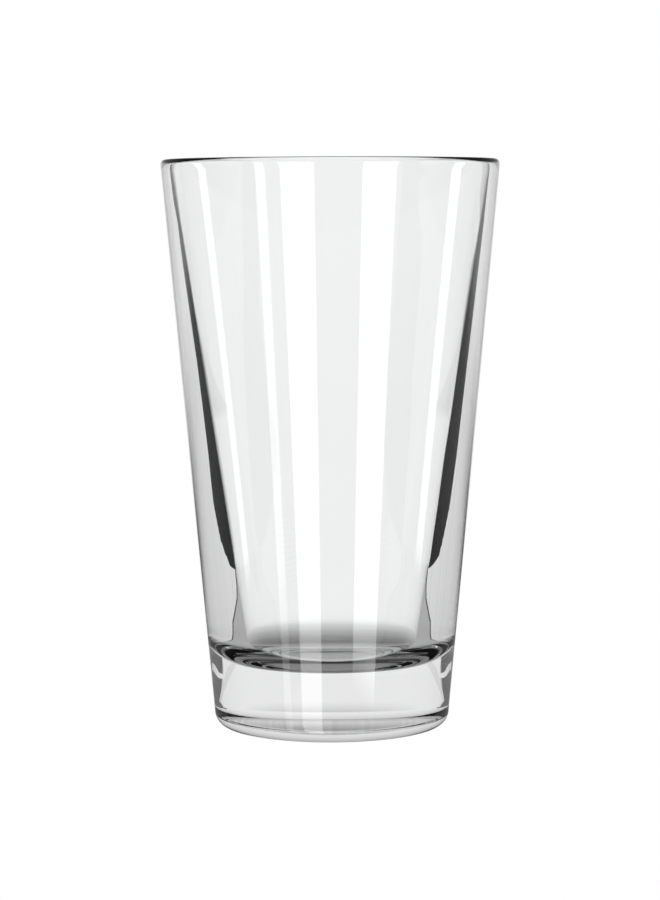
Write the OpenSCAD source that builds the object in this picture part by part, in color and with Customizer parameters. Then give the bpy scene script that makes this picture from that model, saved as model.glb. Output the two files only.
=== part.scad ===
// Pressed soda-lime pint tumbler (shaker pint), one piece of glass.
// Origin: centre of the foot ring, on the surface the glass stands on. +Z up, through the mouth.
// All dimensions in millimetres.

/* [Body] */
// Overall height, from the standing surface to the top of the rim
height = 149.2; // [130:0.1:170]
// Outside diameter of the tapered wall, measured at the rim height
mouth_outer_d = 88.9; // [88.9:0.1:100]
// Outside diameter of the tapered wall, carried down to the standing surface
foot_outer_d = 61.3; // [59.5:0.1:70]

/* [Cavity] */
// Inside diameter of the tapered cavity, measured at the rim height
mouth_inner_d = 84.0; // [74:0.1:84]
// Inside diameter of the tapered cavity, carried down to its floor level
floor_inner_d = 43.6; // [36:0.1:50]
// Thickness of the solid base, from the standing surface to the edge of the cavity floor
base_thickness = 17.3; // [12:0.1:24]
// Radius between the cavity wall and the cavity floor
floor_corner_r = 9.0; // [4:0.1:11]
// How much lower the gently dished cavity floor is in the middle than at its edge
floor_dish = 0.5; // [0.2:0.1:1.5]

/* [Rim] */
// Radius of the fire-polished outer edge of the rim
rim_outer_r = 1.3; // [0.8:0.05:1.3]
// Radius of the fire-polished inner edge of the rim
rim_inner_r = 1.1; // [0.6:0.05:1.1]

/* [Foot] */
// Radius between the outer wall and the foot ring
foot_corner_r = 3.8; // [1.5:0.1:5]
// Diameter of the recess where it meets the standing surface, which is the inside of the foot ring
recess_d = 51.0; // [44:0.1:52]
// Depth of the recess inside the foot ring
recess_depth = 2.0; // [0.8:0.1:3]
// Width of the sloped wall between the foot ring and the recess
recess_bevel = 2.0; // [0.4:0.1:3]
// Diameter of the shallow round panel sunk in the middle of the recess
panel_d = 36.0; // [30:0.1:40]
// Depth of that panel below the rest of the recess
panel_step = 0.3; // [0.1:0.05:0.6]
// Width of the flat ring round the edge of the panel
panel_flat = 3.2; // [1.5:0.1:6]
// Rise of the low dome in the middle of the panel
panel_dome = 0.5; // [0.2:0.1:1.5]

/* [Hidden] */
$fn = 180;

// Outer and inner wall radius at a height z
function outer_r(z) = foot_outer_d / 2 + (mouth_outer_d - foot_outer_d) / 2 * z / height;
function inner_r(z) = floor_inner_d / 2
    + (mouth_inner_d - floor_inner_d) / 2 * (z - base_thickness) / (height - base_thickness);

// Lean of each wall from the vertical
outer_lean = atan((mouth_outer_d - foot_outer_d) / 2 / height);
inner_lean = atan((mouth_inner_d - floor_inner_d) / 2 / (height - base_thickness));

// Centre of a circle of radius r that touches the outer wall from inside, at height z
function on_outer(r, z) = [outer_r(z) - r / cos(outer_lean), z];
// The same for the cavity wall: toward the glass (side = 1) or toward the cavity (side = -1)
function on_inner(r, z, side) = [inner_r(z) + side * r / cos(inner_lean), z];

// Radius of a sphere that rises by h over a disc of radius a
function cap_r(a, h) = (a * a + h * h) / (2 * h);

foot_c = on_outer(foot_corner_r, foot_corner_r);
rim_oc = on_outer(rim_outer_r, height - rim_outer_r);
rim_ic = on_inner(rim_inner_r, height - rim_inner_r, 1);
floor_c = on_inner(floor_corner_r, base_thickness + floor_corner_r, -1);

// Solid outer shape in half section, with a rounded foot and a rounded outer rim edge
module outer_section() {
    difference() {
        polygon([
            [0, 0], [foot_outer_d / 2, 0], [mouth_outer_d / 2, height], [0, height]
        ]);
        // foot corner: everything outside the foot radius
        difference() {
            polygon([
                [foot_c[0], -1], [foot_c[0] + 20, -1],
                foot_c + 20 * [cos(outer_lean), -sin(outer_lean)], foot_c
            ]);
            translate(foot_c) circle(r = foot_corner_r);
        }
        // outer rim edge
        difference() {
            polygon([
                rim_oc, rim_oc + 20 * [cos(outer_lean), -sin(outer_lean)],
                [rim_oc[0] + 20, height + 1], [rim_oc[0], height + 1]
            ]);
            translate(rim_oc) circle(r = rim_outer_r);
        }
    }
}

// The cavity in half section: a cone with a rounded corner at the floor and a dished floor
module cavity_section() {
    union() {
        difference() {
            polygon([
                [0, base_thickness], [floor_inner_d / 2, base_thickness],
                [mouth_inner_d / 2, height], [mouth_inner_d / 2, height + 5], [0, height + 5]
            ]);
            // rounded corner at the floor
            difference() {
                polygon([
                    [floor_c[0], base_thickness - 1], [floor_c[0] + 20, base_thickness - 1],
                    floor_c + 20 * [cos(inner_lean), -sin(inner_lean)], floor_c
                ]);
                translate(floor_c) circle(r = floor_corner_r);
            }
        }
        // flare over the inner rim edge
        difference() {
            polygon([
                rim_ic, rim_ic + 20 * [-cos(inner_lean), sin(inner_lean)],
                [rim_ic[0] - 20, height + 1], [rim_ic[0], height + 1]
            ]);
            translate(rim_ic) circle(r = rim_inner_r);
        }
        // dish of the floor
        intersection() {
            translate([0, base_thickness - floor_dish + cap_r(floor_c[0], floor_dish)])
                circle(r = cap_r(floor_c[0], floor_dish));
            polygon([
                [0, base_thickness - floor_dish - 1], [floor_c[0] + 2, base_thickness - floor_dish - 1],
                [floor_c[0] + 2, base_thickness + 0.1], [0, base_thickness + 0.1]
            ]);
        }
    }
}

// Recess of the underside in half section: a sloped wall, a flat, a sunk panel and a low dome
module underside_section() {
    a = recess_d / 2;
    b = panel_d / 2;
    c = b - panel_flat;
    flat_z = recess_depth;
    panel_z = recess_depth + panel_step;
    polygon([
        [0, -1], [a, -1], [a, 0], [a - recess_bevel, flat_z],
        [b, flat_z], [b - panel_step, panel_z], [0, panel_z]
    ]);
    intersection() {
        translate([0, panel_z + panel_dome - cap_r(c, panel_dome)])
            circle(r = cap_r(c, panel_dome));
        polygon([
            [0, panel_z - 0.05], [b - panel_step, panel_z - 0.05],
            [b - panel_step, panel_z + panel_dome + 1], [0, panel_z + panel_dome + 1]
        ]);
    }
}

// The whole tumbler, one solid of revolution
module tumbler() {
    color([0.93, 0.95, 0.94, 0.35])
    rotate_extrude()
    difference() {
        outer_section();
        cavity_section();
        underside_section();
    }
}

tumbler();
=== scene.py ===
"""Pint glass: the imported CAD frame, a detailed pressed-glass mesh around it, and a plain pale studio."""

import math

import bmesh
import bpy
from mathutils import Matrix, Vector


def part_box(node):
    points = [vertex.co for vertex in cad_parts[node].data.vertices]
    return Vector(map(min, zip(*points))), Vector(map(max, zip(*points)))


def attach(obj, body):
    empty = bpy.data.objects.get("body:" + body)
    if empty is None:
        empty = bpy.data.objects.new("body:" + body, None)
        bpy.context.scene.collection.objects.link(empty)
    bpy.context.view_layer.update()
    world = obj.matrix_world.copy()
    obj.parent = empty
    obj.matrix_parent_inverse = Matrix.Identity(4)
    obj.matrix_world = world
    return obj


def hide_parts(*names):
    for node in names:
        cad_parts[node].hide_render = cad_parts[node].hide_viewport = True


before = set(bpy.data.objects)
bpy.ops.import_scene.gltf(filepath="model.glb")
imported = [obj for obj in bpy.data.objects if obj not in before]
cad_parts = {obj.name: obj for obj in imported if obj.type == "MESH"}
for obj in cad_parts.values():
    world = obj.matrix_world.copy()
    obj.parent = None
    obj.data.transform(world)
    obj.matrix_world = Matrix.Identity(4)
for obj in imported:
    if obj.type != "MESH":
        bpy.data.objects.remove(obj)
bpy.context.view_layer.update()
lo, hi = (Vector(c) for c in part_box("tumbler"))
MM = 0.001
HEIGHT = hi.z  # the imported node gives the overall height

# ---------------------------------------------------------------- the glass, as a half section
H = HEIGHT / MM
FOOT_R, MOUTH_R = 30.65, 44.45
FLOOR_R, RIM_R, BASE_T = 21.8, 42.0, 17.3
FOOT_C, RIM_O, RIM_I, FLOOR_C = 3.8, 1.3, 1.1, 9.0
DISH = 0.5
RECESS_R, RECESS_H, BEVEL = 25.5, 2.0, 2.0
PANEL_R, PANEL_STEP, PANEL_FLAT, DOME = 18.0, 0.3, 3.2, 0.5


def outer(z):
    return FOOT_R + (MOUTH_R - FOOT_R) * z / H


def inner(z):
    return FLOOR_R + (RIM_R - FLOOR_R) * (z - BASE_T) / (H - BASE_T)


LEAN_O = math.atan((MOUTH_R - FOOT_R) / H)
LEAN_I = math.atan((RIM_R - FLOOR_R) / (H - BASE_T))


def arc(c, r, a0, a1, n):
    return [
        (c[0] + r * math.cos(a0 + (a1 - a0) * i / n), c[1] + r * math.sin(a0 + (a1 - a0) * i / n))
        for i in range(n + 1)
    ]


def line(a, b, n):
    return [(a[0] + (b[0] - a[0]) * i / n, a[1] + (b[1] - a[1]) * i / n) for i in range(n + 1)]


def section():
    """The half section in mm, from the middle of the underside, round the wall, to the middle of the cavity floor."""
    foot = (outer(FOOT_C) - FOOT_C / math.cos(LEAN_O), FOOT_C)
    rim_o = (outer(H - RIM_O) - RIM_O / math.cos(LEAN_O), H - RIM_O)
    rim_i = (inner(H - RIM_I) + RIM_I / math.cos(LEAN_I), H - RIM_I)
    corner = (inner(BASE_T + FLOOR_C) - FLOOR_C / math.cos(LEAN_I), BASE_T + FLOOR_C)
    half = math.pi / 2
    a = PANEL_R - PANEL_FLAT
    top = RECESS_H + PANEL_STEP
    R = (a * a + DOME * DOME) / (2 * DOME)
    pts = [(r, top + DOME - R + math.sqrt(R * R - r * r)) for r in (a * i / 24 for i in range(25))]
    pts += line((a, top), (PANEL_R - PANEL_STEP, top), 3)[1:]
    pts += line((PANEL_R - PANEL_STEP, top), (PANEL_R, RECESS_H), 3)[1:]
    pts += line((PANEL_R, RECESS_H), (RECESS_R - BEVEL, RECESS_H), 8)[1:]
    pts += line((RECESS_R - BEVEL, RECESS_H), (RECESS_R, 0), 5)[1:]
    pts += line((RECESS_R, 0), (foot[0], 0), 4)[1:]
    pts += arc(foot, FOOT_C, -half, -LEAN_O, 18)[1:]
    o = arc(rim_o, RIM_O, -LEAN_O, half, 16)
    pts += line(pts[-1], o[0], 90)[1:] + o[1:]
    i = arc(rim_i, RIM_I, half, math.pi - LEAN_I, 14)
    pts += i if abs(i[0][0] - pts[-1][0]) > 1e-3 else i[1:]
    f = arc(corner, FLOOR_C, -LEAN_I, -half, 30)
    pts += line(pts[-1], f[0], 90)[1:] + f[1:]
    a = corner[0]
    R = (a * a + DISH * DISH) / (2 * DISH)
    pts += [(r, BASE_T - DISH + R - math.sqrt(R * R - r * r)) for r in (a * (1 - i / 36) for i in range(1, 37))]
    return pts


def lathe(name, pts, n):
    bm = bmesh.new()
    rings = []
    for r, z in pts:
        if r < 1e-6:
            rings.append([bm.verts.new((0, 0, z * MM))])
        else:
            rings.append([
                bm.verts.new((
                    r * MM * math.cos(2 * math.pi * k / n),
                    r * MM * math.sin(2 * math.pi * k / n),
                    z * MM,
                ))
                for k in range(n)
            ])
    for a, b in zip(rings, rings[1:]):
        for k in range(n):
            k1 = (k + 1) % n
            if len(a) == 1:
                bm.faces.new((a[0], b[k1], b[k]))
            elif len(b) == 1:
                bm.faces.new((a[k], a[k1], b[0]))
            else:
                bm.faces.new((a[k], a[k1], b[k1], b[k]))
    bmesh.ops.recalc_face_normals(bm, faces=bm.faces)
    mesh = bpy.data.meshes.new(name)
    bm.to_mesh(mesh)
    bm.free()
    for p in mesh.polygons:
        p.use_smooth = True
    obj = bpy.data.objects.new(name, mesh)
    bpy.context.scene.collection.objects.link(obj)
    return obj


glass = lathe("pressed_tumbler", section(), 288)


# ---------------------------------------------------------------- nodes, written as sums
class Tree:
    def __init__(self, tree):
        self.t = tree
        tree.nodes.clear()

    def node(self, kind, **props):
        n = self.t.nodes.new(kind)
        for k, v in props.items():
            setattr(n, k, v)
        return n

    def put(self, sock, v):
        if isinstance(v, bpy.types.NodeSocket):
            self.t.links.new(v, sock)
        else:
            sock.default_value = v

    def m(self, op, a, b=None, c=None, clamp=False):
        n = self.node("ShaderNodeMath", operation=op, use_clamp=clamp)
        for s, v in zip(n.inputs, (a, b, c)):
            if v is not None:
                self.put(s, v)
        return n.outputs[0]

    def ramp(self, v, a, b, lo=0.0, hi=1.0):
        """lo below a, hi above b, smooth between."""
        n = self.node("ShaderNodeMapRange", interpolation_type="SMOOTHSTEP", clamp=True)
        for s, x in zip(n.inputs, (v, a, b, lo, hi)):
            self.put(s, x)
        return n.outputs[0]

    def lerp(self, f, a, b):
        n = self.node("ShaderNodeMix", data_type="FLOAT")
        for k, x in zip(("Factor", "A", "B"), (f, a, b)):
            self.put(n.inputs[k], x)
        return n.outputs[0]

    def steps(self, v, knots):
        """A curve through (value, level) knots, straight between them and flat outside."""
        out = knots[0][1]
        for (a, p), (b, q) in zip(knots, knots[1:]):
            n = self.node("ShaderNodeMapRange", interpolation_type="LINEAR", clamp=True)
            for s, x in zip(n.inputs, (v, a, b, 0.0, q - p)):
                self.put(s, x)
            out = self.m("ADD", out, n.outputs[0])
        return out

    def band(self, v, a, b, soft):
        """1 between a and b, 0 outside, with soft edges."""
        up = self.ramp(v, self.m("SUBTRACT", a, soft), self.m("ADD", a, soft))
        dn = self.ramp(v, self.m("SUBTRACT", b, soft), self.m("ADD", b, soft), 1.0, 0.0)
        return self.m("MULTIPLY", up, dn)


def noise(t, co, scale, detail):
    """Noise in object space, with its own scale along each axis, per metre."""
    mp = t.node("ShaderNodeMapping")
    mp.inputs["Scale"].default_value = scale
    t.t.links.new(co.outputs["Object"], mp.inputs["Vector"])
    n = t.node("ShaderNodeTexNoise")
    n.inputs["Scale"].default_value = 1.0
    n.inputs["Detail"].default_value = detail
    t.t.links.new(mp.outputs[0], n.inputs["Vector"])
    return n.outputs[0]


def glass_material():
    mat = bpy.data.materials.new("clear_pressed_glass")
    mat.use_nodes = True
    t = Tree(mat.node_tree)
    out = t.node("ShaderNodeOutputMaterial")
    bsdf = t.node("ShaderNodeBsdfPrincipled")
    bsdf.inputs["Base Color"].default_value = (0.985, 0.99, 0.988, 1)
    bsdf.inputs["IOR"].default_value = 1.52
    bsdf.inputs["Transmission Weight"].default_value = 1.0
    mat.node_tree.links.new(bsdf.outputs[0], out.inputs["Surface"])
    co = t.node("ShaderNodeTexCoord")
    sep = t.node("ShaderNodeSeparateXYZ")
    mat.node_tree.links.new(co.outputs["Object"], sep.inputs[0])
    x, y, z = sep.outputs
    rho = t.m("SQRT", t.m("ADD", t.m("MULTIPLY", x, x), t.m("MULTIPLY", y, y)))
    # bright polish, with faint wiped smears and a foot ring scuffed by tables
    smear = t.ramp(noise(t, co, (28.0, 28.0, 9.0), 4.0), 0.56, 0.76, 0.0, 0.022)
    ring = t.m("MULTIPLY", t.ramp(z, 0.0001, 0.0006, 1.0, 0.0), t.band(rho, 0.0258, 0.0274, 0.0004))
    scuff = t.m("MULTIPLY", ring, t.ramp(noise(t, co, (900.0, 900.0, 900.0), 3.0), 0.35, 0.65, 0.10, 0.34))
    t.put(bsdf.inputs["Roughness"], t.m("ADD", smear, scuff))
    # the slow waves a plunger and mould leave, drawn out up the wall, and a trace of mould skin on the underside
    wave = noise(t, co, (120.0, 120.0, 16.0), 2.0)
    skin = t.m("MULTIPLY", noise(t, co, (1400.0, 1400.0, 1400.0), 2.0), t.m("MULTIPLY", t.ramp(z, 0.0030, 0.0034, 0.12, 0.0), t.ramp(rho, 0.0262, 0.0268, 1.0, 0.0)))
    bump = t.node("ShaderNodeBump")
    bump.inputs["Strength"].default_value = 1.0
    bump.inputs["Distance"].default_value = 0.000007
    t.put(bump.inputs["Height"], t.m("ADD", wave, skin))
    mat.node_tree.links.new(bump.outputs[0], bsdf.inputs["Normal"])
    tint = t.node("ShaderNodeVolumeAbsorption")
    tint.inputs["Color"].default_value = (0.0, 0.0, 0.0, 1)
    tint.inputs["Density"].default_value = 2.3
    mat.node_tree.links.new(tint.outputs[0], out.inputs["Volume"])
    return mat


glass.data.materials.append(glass_material())
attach(glass, "root")
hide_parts("tumbler")

# ---------------------------------------------------------------- the stage
def light_of(mat, build):
    """An unlit material whose strength is built by a function of its tree."""
    mat.use_nodes = True
    t = Tree(mat.node_tree)
    e = t.node("ShaderNodeEmission")
    e.inputs["Color"].default_value = (1, 1, 1, 1)
    t.put(e.inputs["Strength"], build(t))
    o = t.node("ShaderNodeOutputMaterial")
    mat.node_tree.links.new(e.outputs[0], o.inputs["Surface"])


# painted shadow round the foot, seen straight through the glass: floor level against distance from the axis in mm
STRAIGHT_SHADOW = [
    (0, 0.40), (34, 0.40), (41, 0.20), (48, 0.26), (55, 0.36), (61, 0.43), (69, 0.56), (78, 0.67), (90, 0.84),
    (97, 0.91), (104, 0.95), (115, 1.0),
]
EDGE = [(40, 43), (60, 43), (85, 50), (97, 43), (106, 37), (116, 37), (130, 43)]
# painted shade beside the foot, seen after a turn inside the glass: floor level against distance from the axis in mm
BESIDE_SHADE = [(0, 0.26), (20, 0.24), (23, 0.04), (27, 0.06), (31, 0.22), (44, 0.46)]


def floor_light(t):
    """White to the camera. Through the glass it shows a painted shadow, darkening near the foot where the glass stands.
    """
    geo = t.node("ShaderNodeNewGeometry")
    sep = t.node("ShaderNodeSeparateXYZ")
    t.t.links.new(geo.outputs["Position"], sep.inputs[0])
    x = t.m("MULTIPLY", t.m("ABSOLUTE", sep.outputs[0]), 1000)
    y = t.m("MULTIPLY", t.m("ABSOLUTE", sep.outputs[1]), 1000)
    rho = t.m("SQRT", t.m("ADD", t.m("MULTIPLY", x, x), t.m("MULTIPLY", y, y)))
    path = t.node("ShaderNodeLightPath")
    # straight through the glass: a painted shadow round the foot, lighter in the short gap under the recess
    near = t.steps(rho, STRAIGHT_SHADOW)
    gap = t.m("MULTIPLY", t.ramp(path.outputs["Ray Length"], 0.002, 0.006, 1.0, 0.0), t.ramp(rho, 24.0, 30.0, 1.0, 0.0))
    near = t.lerp(gap, near, 0.75)
    # light bent steeply down by the rounded rim comes from the floor close behind, greyer there with painted shade
    run = t.m("SUBTRACT", rho, 42.0)
    length = t.m("MULTIPLY", path.outputs["Ray Length"], 1000)
    drop = t.m("SQRT", t.m("MAXIMUM", t.m("SUBTRACT", t.m("MULTIPLY", length, length), t.m("MULTIPLY", run, run)), 0.0))
    near = t.lerp(t.ramp(drop, 136.0, 143.0), near, t.steps(rho, [(100, 0.30), (160, 0.50), (270, 0.54), (330, 0.68), (450, 0.86)]))
    # after a turn inside the glass: painted grey shade beside the foot, lighter behind it, a thin dark edge between
    off = t.m("SUBTRACT", y, t.steps(x, EDGE))
    beside = t.steps(rho, BESIDE_SHADE)
    behind = t.m("MULTIPLY", t.steps(rho, [(60, 0.74), (150, 0.80), (300, 0.84)]), streaks(t, t.m("ARCTAN2", x, y), 20.0))
    turned = t.lerp(t.m("MAXIMUM", t.ramp(off, -0.5, 2.5), t.ramp(x, 128.0, 134.0)), beside, behind)
    edge = t.m("MULTIPLY", t.ramp(t.m("ABSOLUTE", off), 0.8, 2.6, 1.0, 0.0), t.band(x, 50.0, 128.0, 4.0))
    turned = t.lerp(edge, turned, 0.05)
    turned = t.m("MULTIPLY", turned, deeper(t, path, 0.5))
    seen = t.lerp(t.m("GREATER_THAN", path.outputs["Glossy Depth"], 0.5), near, turned)
    return t.lerp(path.outputs["Is Camera Ray"], seen, 1.0)


def streaks(t, v, scale):
    """Fine uneven streaks about 1."""
    n = t.node("ShaderNodeTexNoise", noise_dimensions="1D")
    t.put(n.inputs["W"], t.m("MULTIPLY", v, scale))
    n.inputs["Scale"].default_value = 1.0
    n.inputs["Detail"].default_value = 3.0
    n.inputs["Roughness"].default_value = 0.6
    return t.m("MULTIPLY_ADD", n.outputs[0], 0.45, 0.76)


def deeper(t, path, last):
    """Light that turned more than once inside the glass comes out of darker parts of the room."""
    return t.steps(path.outputs["Glossy Depth"], [(1, 1.0), (2, 0.75), (4, 0.5), (8, last)])


scene = bpy.context.scene
bpy.ops.mesh.primitive_plane_add(size=0.9)
floor = bpy.context.object
floor.name = "floor"
# the floor's emission is white to the camera and carries painted shadow and shade round the foot for rays through the
# glass
light_mat = bpy.data.materials.new("pale_floor_painted_shadow")
light_of(light_mat, floor_light)
floor.data.materials.append(light_mat)
floor.visible_glossy = False
floor.visible_diffuse = False


def stage_card(name, verts, faces, level, build):
    """A card of the stage, lit at one level where build gives 1 and clear where it gives 0."""
    me = bpy.data.meshes.new(name)
    me.from_pydata([tuple(c * MM for c in v) for v in verts], [], faces)
    ob = bpy.data.objects.new(name, me)
    scene.collection.objects.link(ob)
    m = bpy.data.materials.new(name)
    m.use_nodes = True
    t = Tree(m.node_tree)
    e = t.node("ShaderNodeEmission")
    e.inputs["Strength"].default_value = level
    tr = t.node("ShaderNodeBsdfTransparent")
    mix = t.node("ShaderNodeMixShader")
    t.put(mix.inputs[0], build(t, t.node("ShaderNodeLightPath").outputs["Glossy Depth"]))
    m.node_tree.links.new(tr.outputs[0], mix.inputs[1])
    m.node_tree.links.new(e.outputs[0], mix.inputs[2])
    o = t.node("ShaderNodeOutputMaterial")
    m.node_tree.links.new(mix.outputs[0], o.inputs["Surface"])
    me.materials.append(m)
    ob.visible_camera = False
    ob.visible_glossy = False
    ob.visible_diffuse = False
    ob.visible_shadow = False


def straight(t, depth):
    return t.m("LESS_THAN", depth, 0.5)


def turned_down(t, depth):
    """Only light that has turned inside the glass and comes down on the upper face of a slat."""
    top = t.m("SUBTRACT", 1.0, t.node("ShaderNodeNewGeometry").outputs["Backfacing"])
    return t.m("MULTIPLY", t.m("GREATER_THAN", depth, 0.5), top)


def table(knots, v):
    if v <= knots[0][0]:
        return knots[0][1]
    for (a, p), (b, q) in zip(knots, knots[1:]):
        if v <= b:
            return p + (q - p) * (v - a) / (b - a)
    return knots[-1][1]


# each dark flag stands beside the glass as a stack of slats: its near and far edges against height, and the azimuth
# of the light that meets them
NEAR = {
    -1: [(0, 40), (3, 39), (9, 36), (21, 39), (35, 44), (50, 51), (64, 57), (77, 70), (91, 78), (98, 83), (104, 88), (112, 89)],
    1: [(0, 45), (2, 48), (8, 49), (20, 52), (35, 54), (49, 61), (63, 63), (78, 64), (92, 71), (98, 83), (104, 87), (114, 70)],
}
FAR = {
    -1: [(-1, 58), (1, 75), (4, 103), (13, 122), (30, 108), (45, 104), (60, 101), (74, 107), (87, 114), (95, 116), (102, 116), (108, 130)],
    1: [(-2, 69), (-1, 91), (3, 110), (11, 133), (26, 137), (41, 131), (56, 127), (71, 125), (86, 124), (101, 124), (109, 120)],
}
NEAR_AZ = [(0, 62), (9, 63), (21, 61), (35, 58), (50, 55), (64, 52), (77, 47), (91, 43), (112, 38)]
FAR_AZ = [(-1, 55), (1, 50), (4, 42), (13, 37), (30, 39), (60, 40), (81, 38), (106, 35)]
PITCH, DEPTH = 2.0, 8.0
BLOCK = [(62, 16.1), (82, 13.6), (95, 11.6), (107, 10.2), (118, 9.2), (131, 8.4), (131, 9.8), (110, 11.8), (99, 13.9), (85, 16.2), (64, 18.5)]
for side in (-1, 1):
    for face in (-1, 1):
        tag = ("left" if side < 0 else "right") + ("_front" if face < 0 else "_back")
        verts, faces = [], []
        z = PITCH
        while z <= 126.0:
            quad = []
            for x, h, edges in ((131 - DEPTH, z - PITCH, (NEAR, FAR)), (131, z, (FAR, NEAR))):
                for e in edges:
                    slope = math.tan(math.radians(table(NEAR_AZ if e is NEAR else FAR_AZ, h)))
                    quad.append((side * x, face * (table(e[side], h) - (131 - x) / slope), z))
            if side * face > 0:
                quad.reverse()
            faces.append(tuple(range(len(verts), len(verts) + 4)))
            verts += quad
            z += PITCH
        stage_card("flag_" + tag, verts, faces, 0.0, turned_down)
        stage_card("white_" + tag, [(side * 127.5, face * y, z) for y, z in BLOCK], [tuple(range(len(BLOCK)))], 0.99, straight)

world = bpy.data.worlds.new("studio")
scene.world = world
world.use_nodes = True
t = Tree(world.node_tree)
co = t.node("ShaderNodeTexCoord")
sep = t.node("ShaderNodeSeparateXYZ")
world.node_tree.links.new(co.outputs["Generated"], sep.inputs[0])
az = t.m("MULTIPLY", t.m("ARCTAN2", sep.outputs[0], sep.outputs[1]), 180 / math.pi)
el = t.m("MULTIPLY", t.m("ARCSINE", sep.outputs[2]), 180 / math.pi)
aaz = t.m("ABSOLUTE", az)
lp = t.node("ShaderNodeLightPath")

# straight through the glass: a white sweep, greyer above, dark overhead in front
side = t.ramp(aaz, 25.0, 75.0, 1.0, 0.06)
high = t.ramp(el, 25.0, 45.0)
through = t.steps(el, [(-20, 0.97), (-5, 1.0), (0, 1.0), (6, 0.92), (18, 0.78), (37, 0.52), (60, 0.40)])
through = t.m("MULTIPLY", through, t.lerp(high, 1.0, side))
wing = t.m("MULTIPLY", t.ramp(el, -1.15, -0.75), t.ramp(el, 2.6, 3.4, 1.0, 0.0))
off_side = t.m("ABSOLUTE", t.m("SUBTRACT", aaz, 90.0))
wing = t.m("MULTIPLY", wing, t.m("MULTIPLY", t.ramp(off_side, 8.0, 12.0), t.ramp(off_side, 36.5, 38.5, 1.0, 0.0)))
through = t.lerp(wing, through, t.m("MULTIPLY", streaks(t, az, 0.5), 0.12))
# after a turn inside the glass: the same sweep behind, a grey studio in front
sweep = t.steps(el, [(-20, 0.84), (0, 0.84), (10, 0.72), (23, 0.36), (50, 0.40)])
face = t.steps(el, [(-20, 0.45), (0, 0.60), (12, 0.45), (30, 0.08), (50, 0.01)])
turned = t.lerp(t.ramp(aaz, 62.0, 90.0), sweep, face)
turned = t.m("MULTIPLY", turned, t.lerp(high, streaks(t, az, 0.35), side))
turned = t.m("MULTIPLY", turned, deeper(t, lp, 0.06))
# the first reflection: grey studio in front, white sweep behind, strip softboxes
back = t.m("MULTIPLY", t.ramp(aaz, 50.0, 64.0, 1.0, 0.0), t.steps(el, [(-8, 0.22), (-6.8, 0.5), (-5.4, 1.0)]))
front = t.m("MULTIPLY", t.ramp(el, -20.0, 0.0, 0.10, 0.45), t.ramp(aaz, 80.0, 110.0, 0.4, 1.0))
room = t.m("MAXIMUM", back, front)
room = t.m("MULTIPLY", room, t.steps(el, [(2, 1.0), (10, 0.25), (30, 0.06), (62, 0.06), (72, 0.9)]))


def strip(a0, k0, a1, k1, e_ref, e_lo, e_hi, soft, level):
    """A softbox from azimuth a0 to a1 (degrees), which lean by k0 and k1 degrees for each degree of height."""
    d = t.m("SUBTRACT", el, e_ref)
    left = t.m("MULTIPLY_ADD", d, k0, a0)
    right = t.m("MULTIPLY_ADD", d, k1, a1)
    s = t.band(az, left, right, soft)
    s = t.m("MULTIPLY", s, t.band(el, e_lo, e_hi, 0.6))
    return t.m("MULTIPLY", s, level)


strips = [
    strip(-75.36, 1.823, -67.92, 1.964, 0.0, -15.4, 0.0, 0.5, 3.2),
    strip(-131.48, 0.434, -124.41, 0.440, 0.0, -17.4, 0.0, 0.5, 3.0),
    strip(-131.48, 0.434, -124.41, 0.440, 0.0, -38.0, -17.4, 0.5, 1.6),
    strip(-168.03, 0.122, -141.84, 0.450, 0.0, -37.5, 0.0, 0.6, 4.0),
    strip(-151.5, 0.0, -138.5, 0.0, 0.0, -20.9, -20.0, 0.5, 1.4),
    strip(130.78, -0.402, 156.34, -0.201, 0.0, -19.6, 0.0, 0.6, 4.0),
    strip(70.63, -1.623, 80.76, -1.396, 0.0, -15.0, 0.0, 0.5, 3.2),
]
lights = strips[0]
for s in strips[1:]:
    lights = t.m("ADD", lights, s)
room = t.m("ADD", room, lights)
sparkle = t.m("MULTIPLY", lights, t.m("GREATER_THAN", lp.outputs["Glossy Depth"], 1.5))
turned = t.m("MULTIPLY_ADD", sparkle, 0.5, turned)

seen = t.lerp(t.m("GREATER_THAN", lp.outputs["Glossy Depth"], 0.5), through, turned)
seen = t.lerp(lp.outputs["Is Transmission Ray"], room, seen)
seen = t.lerp(lp.outputs["Is Camera Ray"], seen, 1.0)
bg = t.node("ShaderNodeBackground")
t.put(bg.inputs["Strength"], seen)
bg.inputs["Color"].default_value = (1, 1, 1, 1)
wo = t.node("ShaderNodeOutputWorld")
world.node_tree.links.new(bg.outputs[0], wo.inputs["Surface"])
world.cycles.sampling_method = "NONE"

# ---------------------------------------------------------------- the camera
cam_data = bpy.data.cameras.new("camera")
cam_data.sensor_width = 36
cam_data.lens = 2854.4 / 900 * 36
camera = bpy.data.objects.new("camera", cam_data)
scene.collection.objects.link(camera)
camera.location = (0.0, -0.75, 0.13717)
camera.rotation_mode = "XYZ"
pitch, yaw, roll = 0.08552, 0.00037, -0.00326
from mathutils import Matrix
camera.matrix_world = (
    Matrix.Translation((0.0, -0.75, 0.13717))
    @ Matrix.Rotation(yaw, 4, "Z")
    @ Matrix.Rotation(math.pi / 2 - pitch, 4, "X")
    @ Matrix.Rotation(roll, 4, "Z")
)
scene.camera = camera
scene.view_settings.view_transform = "Standard"
scene.view_settings.look = "None"
scene.cycles.max_bounces = 24
scene.cycles.transmission_bounces = 24
scene.cycles.glossy_bounces = 24
scene.cycles.transparent_max_bounces = 24
scene.cycles.sample_clamp_indirect = 0
